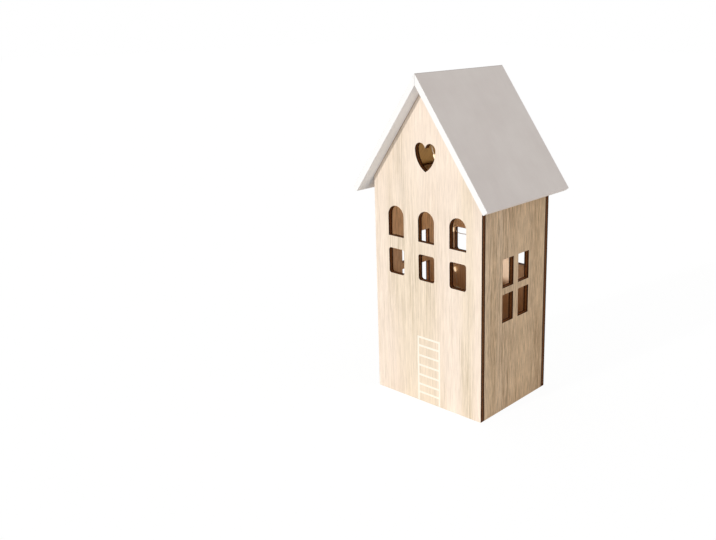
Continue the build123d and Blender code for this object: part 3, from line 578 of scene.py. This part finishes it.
# Wiring: the routes repeat the model's own, in shares of the same lengths. Two
# points of the light wire on the back wall were moved to follow the photograph.
WIRE_DIAMETER = 0.6 * MM
STANDOFF = 1.4 * MM
BACK_RUN = ROOM_Y - STANDOFF
RIGHT_RUN = ROOM_X - STANDOFF
FRONT_RUN = -BACK_RUN
BOARD_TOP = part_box("driver_board")[1].z
WIRE_START = Vector((-19.35 * MM, 12.55 * MM, BOARD_TOP))
FOOT_SHARES = ((0, 0, 0), (0, 0, 0.219), (0.17, 0.202, 0.428), (0.605, 0.565, 0.689))
BACK_SHARES = (
    (-0.696, 0.293),
    (-0.726, 0.377),
    (-0.722, 0.44),
    (-0.793, 0.497),
    (-0.8, 0.575),
    (-0.793, 0.644),
    (-0.83, 0.701),
    (-0.891, 0.745),
    (-0.911, 0.789),
    (-0.824, 0.803),
    (-0.737, 0.789),
    (-0.741, 0.753),
    (-0.78, 0.72),
    (-0.765, 0.678),
    (-0.7, 0.659),
    (-0.485, 0.663),
    (-0.333, 0.66),
    (0.13, 0.664),
    (0.478, 0.66),
    (0.691, 0.664),
    (0.88, 0.674),
)
RIGHT_SHARES = (
    (0.836, 0.683),
    (0.542, 0.698),
    (0.222, 0.709),
    (-0.167, 0.714),
    (-0.556, 0.712),
    (-0.836, 0.738),
)
FRONT_SHARES = ((0.883, 0.781), (0.861, 0.856), (0.761, 0.931), (0.533, 0.994))
GABLE_SHARES = (
    (0.261, 0.101),
    (0.087, 0.261),
    (-0.011, 0.464),
    (-0.12, 0.623),
    (-0.065, 0.754),
)
POSITIVE_LEAD = (
    (24.85, -11.1, 14.25),
    (24.85, -11.1, 16.65),
    (26.25, -7.5, 16.85),
    (26.35, -1.1, 16.15),
    (26.25, 9.65, 15.85),
    (22.45, 15.05, 15.75),
    (17.15, 15.35, 15.35),
    (11.15, 15.25, 13.8),
    (9.15, 14.95, 12.6),
    (9.15, 14.95, 10.6),
)
NEGATIVE_LEAD = (
    (24.85, 1.2, 14.25),
    (24.85, 1.2, 16.25),
    (25.25, 4.2, 16.65),
    (25.15, 9.6, 16.25),
    (21.25, 11.55, 15.85),
    (18.15, 10.55, 15.25),
    (12.65, 10.35, 13.4),
    (10.55, 10.45, 12.4),
    (10.55, 10.45, 10.6),
)
LEAD_RADIUS = 0.5 * MM
SPLINE_ORDER = 3
STEPS_PER_POINT = 12
BEVEL_STEPS = 4

# The wire's two strands
STRAND_RADIUS = 0.17 * MM
STRAND_OFFSET = 0.17 * MM
STRAND_SIDES = 6
TWIST_PITCH = 3.0 * MM
STEPS_PER_TWIST = 8

# Painted glint: the wire's light, warm colour and low metal stand in for the lit wood that it reflects
wire_painted_glint = grained(
    "silver_wire", tint(240, 226, 208), tint(224, 208, 188), 3000, POLISHED, Roughness=0.35, Metallic=0.2
)
red_sheath = grained("red_sheath", tint(158, 28, 24), tint(138, 22, 20), 1500, SATIN, Roughness=0.4)
black_sheath = grained("black_sheath", tint(28, 28, 30), tint(38, 38, 40), 1500, SATIN, Roughness=0.4)


def light_route():
    """Control points of the light wire, from the board to its end in the gable."""
    back = [Vector((x * ROOM_X, BACK_RUN, z * EAVE)) for x, z in BACK_SHARES]
    right = [Vector((RIGHT_RUN, y * ROOM_Y, z * EAVE)) for y, z in RIGHT_SHARES]
    front = [Vector((x * ROOM_X, FRONT_RUN, z * EAVE)) for x, z in FRONT_SHARES]
    gable = [Vector((x * ROOM_X, FRONT_RUN, EAVE + z * (PEAK - EAVE))) for x, z in GABLE_SHARES]
    way = back[0] - WIRE_START
    foot = [WIRE_START + Vector((x * way.x, y * way.y, z * way.z)) for x, y, z in FOOT_SHARES]
    return foot + back + right + front + gable


def in_scene(name, data):
    """A new object of the scene, with its data."""
    piece = bpy.data.objects.new(name, data)
    bpy.context.scene.collection.objects.link(piece)
    return piece


def route_curve(name, points, radius=0.0):
    """A smooth curve with the route's points as its control points."""
    curve = bpy.data.curves.new(name, "CURVE")
    curve.dimensions = "3D"
    curve.resolution_u = STEPS_PER_POINT
    spline = curve.splines.new("NURBS")
    spline.points.add(len(points) - 1)
    for target, point in zip(spline.points, points):
        target.co = (*point, 1.0)
    spline.order_u = SPLINE_ORDER
    spline.use_endpoint_u = True
    curve.bevel_depth = radius
    curve.bevel_resolution = BEVEL_STEPS
    curve.use_fill_caps = True
    return in_scene(name, curve)


def line_of(points):
    """Points along the smooth curve of a route, read from the curve itself."""
    guide = route_curve("guide", points)
    bpy.context.view_layer.update()
    mesh = bpy.data.meshes.new_from_object(guide)
    line = [vertex.co.copy() for vertex in mesh.vertices]
    bpy.data.meshes.remove(mesh)
    bpy.data.objects.remove(guide)
    return line


class Path:
    """A line of points that can be walked by length, with a frame that doesn't twist."""

    def __init__(self, line):
        self.line = line
        self.reach = [0.0]
        for before, after in zip(line, line[1:]):
            self.reach.append(self.reach[-1] + (after - before).length)
        self.length = self.reach[-1]
        self.ways = [(b - a).normalized() for a, b in zip(line, line[1:])]
        side = self.ways[0].orthogonal().normalized()
        self.sides = [side]
        for before, after in zip(self.ways, self.ways[1:]):
            side = before.rotation_difference(after) @ side
            side = (side - after * side.dot(after)).normalized()
            self.sides.append(side)

    def at(self, length):
        """Place, way and side at a length along the line."""
        length = min(max(length, 0.0), self.length)
        run = 0
        while run < len(self.ways) - 1 and self.reach[run + 1] < length:
            run += 1
        place = self.line[run] + self.ways[run] * (length - self.reach[run])
        return place, self.ways[run], self.sides[run]


def mesh_piece(name, mesh_maker, material, smooth=True):
    """A mesh object on the house, made by a function that fills a bmesh."""
    bm = bmesh.new()
    mesh_maker(bm)
    bmesh.ops.recalc_face_normals(bm, faces=bm.faces)
    mesh = bpy.data.meshes.new(name)
    bm.to_mesh(mesh)
    bm.free()
    for polygon in mesh.polygons:
        polygon.use_smooth = smooth
    piece = in_scene(name, mesh)
    mesh.materials.append(material)
    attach(piece, "house")
    return piece


# Lumps that two waves make round a circle
WAVES_ROUND = (2, 3)
SECOND_WAVE_SHARE = 0.6
SECOND_SEED_SHARE = 2.3


def circle(middle, side, other, radius, sides, lumps=0.0, seed=0.0):
    """Points of a circle, slightly lumpy if asked."""
    points = []
    first, second = WAVES_ROUND
    for step in range(sides):
        angle = 2 * math.pi * step / sides
        wave = math.sin(first * angle + seed)
        wave += SECOND_WAVE_SHARE * math.sin(second * angle + SECOND_SEED_SHARE * seed)
        offset = side * math.cos(angle) + other * math.sin(angle)
        points.append(middle + offset * (radius * (1 + lumps * wave)))
    return points


def skin(bm, circles):
    """Faces between the circles of a closed run, and over its two ends."""
    loops = [[bm.verts.new(point) for point in points] for points in circles]
    for first, second in zip(loops, loops[1:]):
        for index in range(len(first)):
            after = (index + 1) % len(first)
            bm.faces.new((first[index], first[after], second[after], second[index]))
    bm.faces.new(loops[0])
    bm.faces.new(loops[-1])


def lathe(bm, profile, place, way, side, sides, **lumpy):
    """Turn a profile of (length, radius) about an axis."""
    other = way.cross(side)
    skin(bm, [circle(place + way * along, side, other, radius, sides, **lumpy) for along, radius in profile])


def tube(bm, points, radius, sides):
    """A tube round a line of points."""
    path = Path(points)
    circles = []
    for index, point in enumerate(points):
        run = min(index, len(path.ways) - 1)
        side = path.sides[run]
        circles.append(circle(point, side, path.ways[run].cross(side), radius, sides))
    skin(bm, circles)


light_path = Path(line_of(light_route()))


def strand(phase):
    """Points of one strand, wound round the wire's line."""
    steps = int(light_path.length / TWIST_PITCH * STEPS_PER_TWIST)
    points = []
    for step in range(steps + 1):
        length = light_path.length * step / steps
        place, way, side = light_path.at(length)
        angle = phase + 2 * math.pi * length / TWIST_PITCH
        offset = side * math.cos(angle) + way.cross(side) * math.sin(angle)
        points.append(place + offset * STRAND_OFFSET)
    return points


def both_strands(bm):
    """The light wire's two twisted strands."""
    for phase in (0.0, math.pi):
        tube(bm, strand(phase), STRAND_RADIUS, STRAND_SIDES)


light_wire = mesh_piece("light_wire", both_strands, wire_painted_glint)
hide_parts("led_wire")

for name, points, material, slot, node in (
    ("lead_red", POSITIVE_LEAD, red_sheath, "red_sheath", "positive_lead"),
    ("lead_black", NEGATIVE_LEAD, black_sheath, "black_sheath", "negative_lead"),
):
    lead = route_curve(name, [Vector(point) * MM for point in points], LEAD_RADIUS)
    lead.data.materials.append(material)
    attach(lead, "house")
    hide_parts(node)


# Lamps and glue, placed along the wire in the model's lengths. The wire's line
# here differs a little from the model's tube, so the lengths stretch with it.
TUBE_LENGTH = 411.2 * MM
STRETCH = light_path.length / TUBE_LENGTH
LAMP_START = 10.3 * MM
LAMP_PITCH = 33.3 * MM
LAMP_COUNT = 13
LAMP_LENGTH = 4.0 * MM
LAMP_RADIUS = 0.95 * MM
LAMP_TIP_RADIUS = 0.3 * MM
LAMP_FULLNESS = 0.6
LAMP_STEPS = 12
LAMP_SIDES = 20
RESIN_WAVES = (700, 700, 700)

# Places of the glue, as shares of the lamps' pitch from the first lamp
GLUE_SHARES = (1.5, 2.42, 3.29, 4.9, 5.83, 7.5, 9.48, 10.34, 11.58)
GLUE_RADIUS = 2.5 * MM
GLUE_HEIGHT = 2.3 * MM
GLUE_SEED_STEP = 1.7
ANCHOR_RADIUS = 2.3 * MM
ANCHOR_HEIGHT = 2.0 * MM
ANCHOR_SEED = 0.8
DOME_LUMPS = 0.05
DOME_FULLNESS = 0.7
DOME_STEPS = 8
DOME_SIDES = 24
CROWN_SHARE = 0.12
GLUE_WAVES = (500, 500, 500)
GLUE_DEPTH = 0.05 * MM


def resin_finish():
    """Clear drops round a warm light."""
    finish = Finish("lit_resin", Roughness=0.12, Transmission_Weight=0.3, Emission_Strength=0.5)
    cloud = finish.noise(finish.vector(finish.axes(), RESIN_WAVES))
    colour = finish.mix(cloud, tint(252, 238, 214), tint(250, 230, 196))
    finish.to_shader("Base Color", colour)
    finish.to_shader("Emission Color", colour)
    finish.bump(cloud, MATT, strength=0.4)
    return finish.material


def glue_finish():
    """Cloudy hot glue."""
    finish = Finish("clear_glue", Roughness=0.25, Transmission_Weight=0.25)
    cloud = finish.noise(finish.vector(finish.axes(), GLUE_WAVES), detail=3.0)
    clouds = finish.ramp(cloud, (0.35, 0.0), (0.7, 1.0))
    finish.to_shader("Base Color", finish.mix(clouds, tint(246, 242, 232), tint(234, 228, 212)))
    finish.bump(cloud, GLUE_DEPTH, strength=0.5)
    return finish.material


def lamp_profile():
    """A drop's (length, radius) from tip to tip."""
    profile = []
    for step in range(LAMP_STEPS + 1):
        angle = math.pi * (step / LAMP_STEPS)
        radius = LAMP_RADIUS * math.sin(angle) ** LAMP_FULLNESS
        profile.append((-LAMP_LENGTH / 2 * math.cos(angle), max(radius, LAMP_TIP_RADIUS)))
    return profile


def lamp_drops(bm):
    """The drops on the wire, one at each step of the pitch."""
    for lamp in range(LAMP_COUNT):
        place, way, side = light_path.at((LAMP_START + lamp * LAMP_PITCH) * STRETCH)
        lathe(bm, lamp_profile(), place, way, side, LAMP_SIDES)


def wall_way(point):
    """The way from a point of the light wire to the wall that it lies along."""
    if point.x > RIGHT_RUN - WIRE_DIAMETER:
        return Vector((1, 0, 0))
    return Vector((0, math.copysign(1, point.y), 0))


def dome_profile(radius, height):
    """A dome's (length, radius) from its foot to its crown."""
    profile = []
    for step in range(DOME_STEPS):
        angle = math.pi / 2 * step / DOME_STEPS
        profile.append((height * math.sin(angle), radius * math.cos(angle) ** DOME_FULLNESS))
    profile.append((height, radius * CROWN_SHARE))
    return profile


def dome(bm, profile, foot, up, side, seed):
    """A slightly lumpy dome of glue."""
    lathe(bm, profile, foot, up, side, DOME_SIDES, lumps=DOME_LUMPS, seed=seed)


def glue_domes(bm):
    """The dabs that hold the wire on the walls."""
    profile = dome_profile(GLUE_RADIUS, GLUE_HEIGHT)
    for index, share in enumerate(GLUE_SHARES):
        place, way = light_path.at((LAMP_START + share * LAMP_PITCH) * STRETCH)[:2]
        wall = wall_way(place)
        side = (way - wall * way.dot(wall)).normalized()
        foot = place + wall * (ROOM_X - place.x if wall.x else ROOM_Y - abs(place.y))
        dome(bm, profile, foot, -wall, side, GLUE_SEED_STEP * index)


def anchor_dome(bm):
    """The dab that holds the wire's foot on the board."""
    profile = dome_profile(ANCHOR_RADIUS, ANCHOR_HEIGHT)
    dome(bm, profile, WIRE_START, Vector((0, 0, 1)), Vector((1, 0, 0)), ANCHOR_SEED)


lamps = mesh_piece("lamps", lamp_drops, resin_finish())
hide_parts("led_beads")
clear_glue = glue_finish()
domes = mesh_piece("glue", glue_domes, clear_glue)
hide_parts("glue_dots")
anchor = mesh_piece("glue_on_board", anchor_dome, clear_glue)
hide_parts("wire_anchor")


# The ladder printed on the front wall, a thin coat of white
PRINT_THICKNESS = 0.08 * MM
PRINT_LINE = 1.5 * MM
PRINT_WAVES = (1500, 1, 90)
LADDER_FOOT = 0.4 * MM
LADDER_X = (-8.7 * MM, 11.6 * MM)
LADDER_Z = tuple(z * MM for z in (7.0, 13.6, 21.2, 28.9, 36.6, 44.4, 51.0))


def ladder_print(bm):
    """Rails and rungs as one sheet of cells, raised from the wall."""
    half = PRINT_LINE / 2
    rails = [(x - half, x + half) for x in LADDER_X]
    rungs = [(z - half, z + half) for z in LADDER_Z]
    columns = sorted(value for rail in rails for value in rail)
    rows = [LADDER_FOOT] + sorted(value for rung in rungs for value in rung)
    verts = {(x, z): bm.verts.new((x, front_low.y, z)) for z in rows for x in columns}
    faces = []
    for low, high in zip(rows, rows[1:]):
        for left, right in zip(columns, columns[1:]):
            if (low, high) in rungs or (left, right) in rails:
                corners = ((left, low), (right, low), (right, high), (left, high))
                faces.append(bm.faces.new([verts[corner] for corner in corners]))
    raised = bmesh.ops.extrude_face_region(bm, geom=faces)
    lifted = [item for item in raised["geom"] if isinstance(item, bmesh.types.BMVert)]
    bmesh.ops.translate(bm, verts=lifted, vec=(0, -PRINT_THICKNESS, 0))


def print_finish():
    """White screen print, thinner where the grain dips."""
    finish = Finish("ladder_print", Roughness=0.6)
    grain = finish.noise(finish.vector(finish.axes(), PRINT_WAVES), detail=3.0)
    worn = finish.ramp(grain, (0.45, 0.0), (0.7, 0.6))
    finish.to_shader("Base Color", finish.mix(worn, tint(242, 234, 221), tint(240, 225, 204)))
    finish.bump(grain, MATT, strength=0.4)
    return finish.material


mesh_piece("ladder_print", ladder_print, print_finish(), smooth=False)


# Floor, light and camera
WHITE = (1.0, 1.0, 1.0, 1.0)
FLOOR_SIZE = 8.0
FLOOR_COLOUR = tint(245, 245, 245)
FLOOR_SHOW = 0.9
FLOOR_GLOW = 1.04
WORLD_STRENGTH = 0.595
SUN_STRENGTH = 1.8
SUN_COLOUR = (1.0, 0.985, 0.96)
SUN_FROM = Vector((-0.17, -1.0, 0.21))
SUN_ANGLE = math.radians(4.5)
GLOW_POWER = 0.0095
GLOW_COLOUR = (1.0, 0.63, 0.18)
GLOW_RADIUS = 20 * MM
GLOW_PLACE = Vector((0, 0.1 * ROOM_Y, 0.85 * EAVE))

# The camera, solved from the photograph. Its image, centre and reach are in pixels.
IMAGE_WIDTH, IMAGE_HEIGHT = 716, 540
CAMERA_CENTRE = (463.29, 230.47)
CAMERA_REACH = 855.26
CAMERA_PLACE = Vector((387.72, -476.66, 291.82)) * MM
CAMERA_TURN = math.radians(39.013)
CAMERA_RISE = math.radians(15.185)
CAMERA_ROLL = math.radians(0.056)
CAMERA_NEAR = 10 * MM
CAMERA_FAR = 50.0
SENSOR = 36.0


def make_floor():
    """A pale floor that keeps the shadow, and glows white where it is seen directly."""
    half = FLOOR_SIZE / 2
    corners = [(-half, -half, 0), (half, -half, 0), (half, half, 0), (-half, half, 0)]
    mesh = bpy.data.meshes.new("floor")
    mesh.from_pydata(corners, [], [(0, 1, 2, 3)])
    floor = in_scene("floor", mesh)
    finish = Finish("floor", Base_Color=FLOOR_COLOUR, Roughness=0.9)
    glow = finish.fill(finish.add("Emission"), WHITE, FLOOR_GLOW)
    share = finish.scaled(finish.seen_directly(), FLOOR_SHOW)
    surface = finish.tree.nodes["Material Output"].inputs[0]
    finish.put(surface, finish.blend(share, finish.shader.outputs[0], glow))
    mesh.materials.append(finish.material)


def make_world():
    """Soft light from all sides, and plain white where it is seen directly."""
    world = bpy.data.worlds.new("studio")
    bpy.context.scene.world = world
    world.use_nodes = True
    world.node_tree.nodes.clear()
    sky = Nodes(world.node_tree)
    soft = sky.fill(sky.add("Background"), WHITE, WORLD_STRENGTH)
    white = sky.fill(sky.add("Background"), WHITE, 1.0)
    sky.put(sky.add("OutputWorld").inputs[0], sky.blend(sky.seen_directly(), soft, white))


def add_light(name, kind, energy, colour, place):
    """A light of the scene, its size left to its maker."""
    light = bpy.data.lights.new(name, kind)
    light.energy = energy
    light.color = colour
    holder = in_scene(name, light)
    holder.location = place
    return holder


def make_sun():
    """A soft light from the front."""
    sun = add_light("sun", "SUN", SUN_STRENGTH, SUN_COLOUR, SUN_FROM)
    sun.data.angle = SUN_ANGLE
    sun.rotation_mode = "QUATERNION"
    sun.rotation_quaternion = SUN_FROM.to_track_quat("Z", "Y")


def make_glow():
    """The warm light that the lamps spread inside the walls."""
    glow = add_light("glow", "POINT", GLOW_POWER, GLOW_COLOUR, GLOW_PLACE)
    glow.data.shadow_soft_size = GLOW_RADIUS
    glow.visible_camera = False


def camera_axes():
    """The camera's right, up and back, from its turn, rise and roll."""
    flat = math.cos(CAMERA_RISE)
    back = Vector((math.sin(CAMERA_TURN) * flat, -math.cos(CAMERA_TURN) * flat, math.sin(CAMERA_RISE)))
    level = Vector((math.cos(CAMERA_TURN), math.sin(CAMERA_TURN), 0))
    upright = back.cross(level)
    right = level * math.cos(CAMERA_ROLL) + upright * math.sin(CAMERA_ROLL)
    up = upright * math.cos(CAMERA_ROLL) - level * math.sin(CAMERA_ROLL)
    return right, up, back


def make_camera():
    """The photograph's camera."""
    data = bpy.data.cameras.new("camera")
    data.sensor_fit = "HORIZONTAL"
    data.sensor_width = SENSOR
    data.lens = CAMERA_REACH / IMAGE_WIDTH * SENSOR
    data.shift_x = 0.5 - CAMERA_CENTRE[0] / IMAGE_WIDTH
    data.shift_y = (CAMERA_CENTRE[1] - IMAGE_HEIGHT / 2) / IMAGE_WIDTH
    data.clip_start = CAMERA_NEAR
    data.clip_end = CAMERA_FAR
    camera = in_scene("camera", data)
    camera.matrix_world = Matrix.Translation(CAMERA_PLACE) @ Matrix(camera_axes()).transposed().to_4x4()
    bpy.context.scene.camera = camera


make_floor()
make_world()
make_sun()
make_glow()
make_camera()
bpy.context.scene.view_settings.view_transform = "Standard"
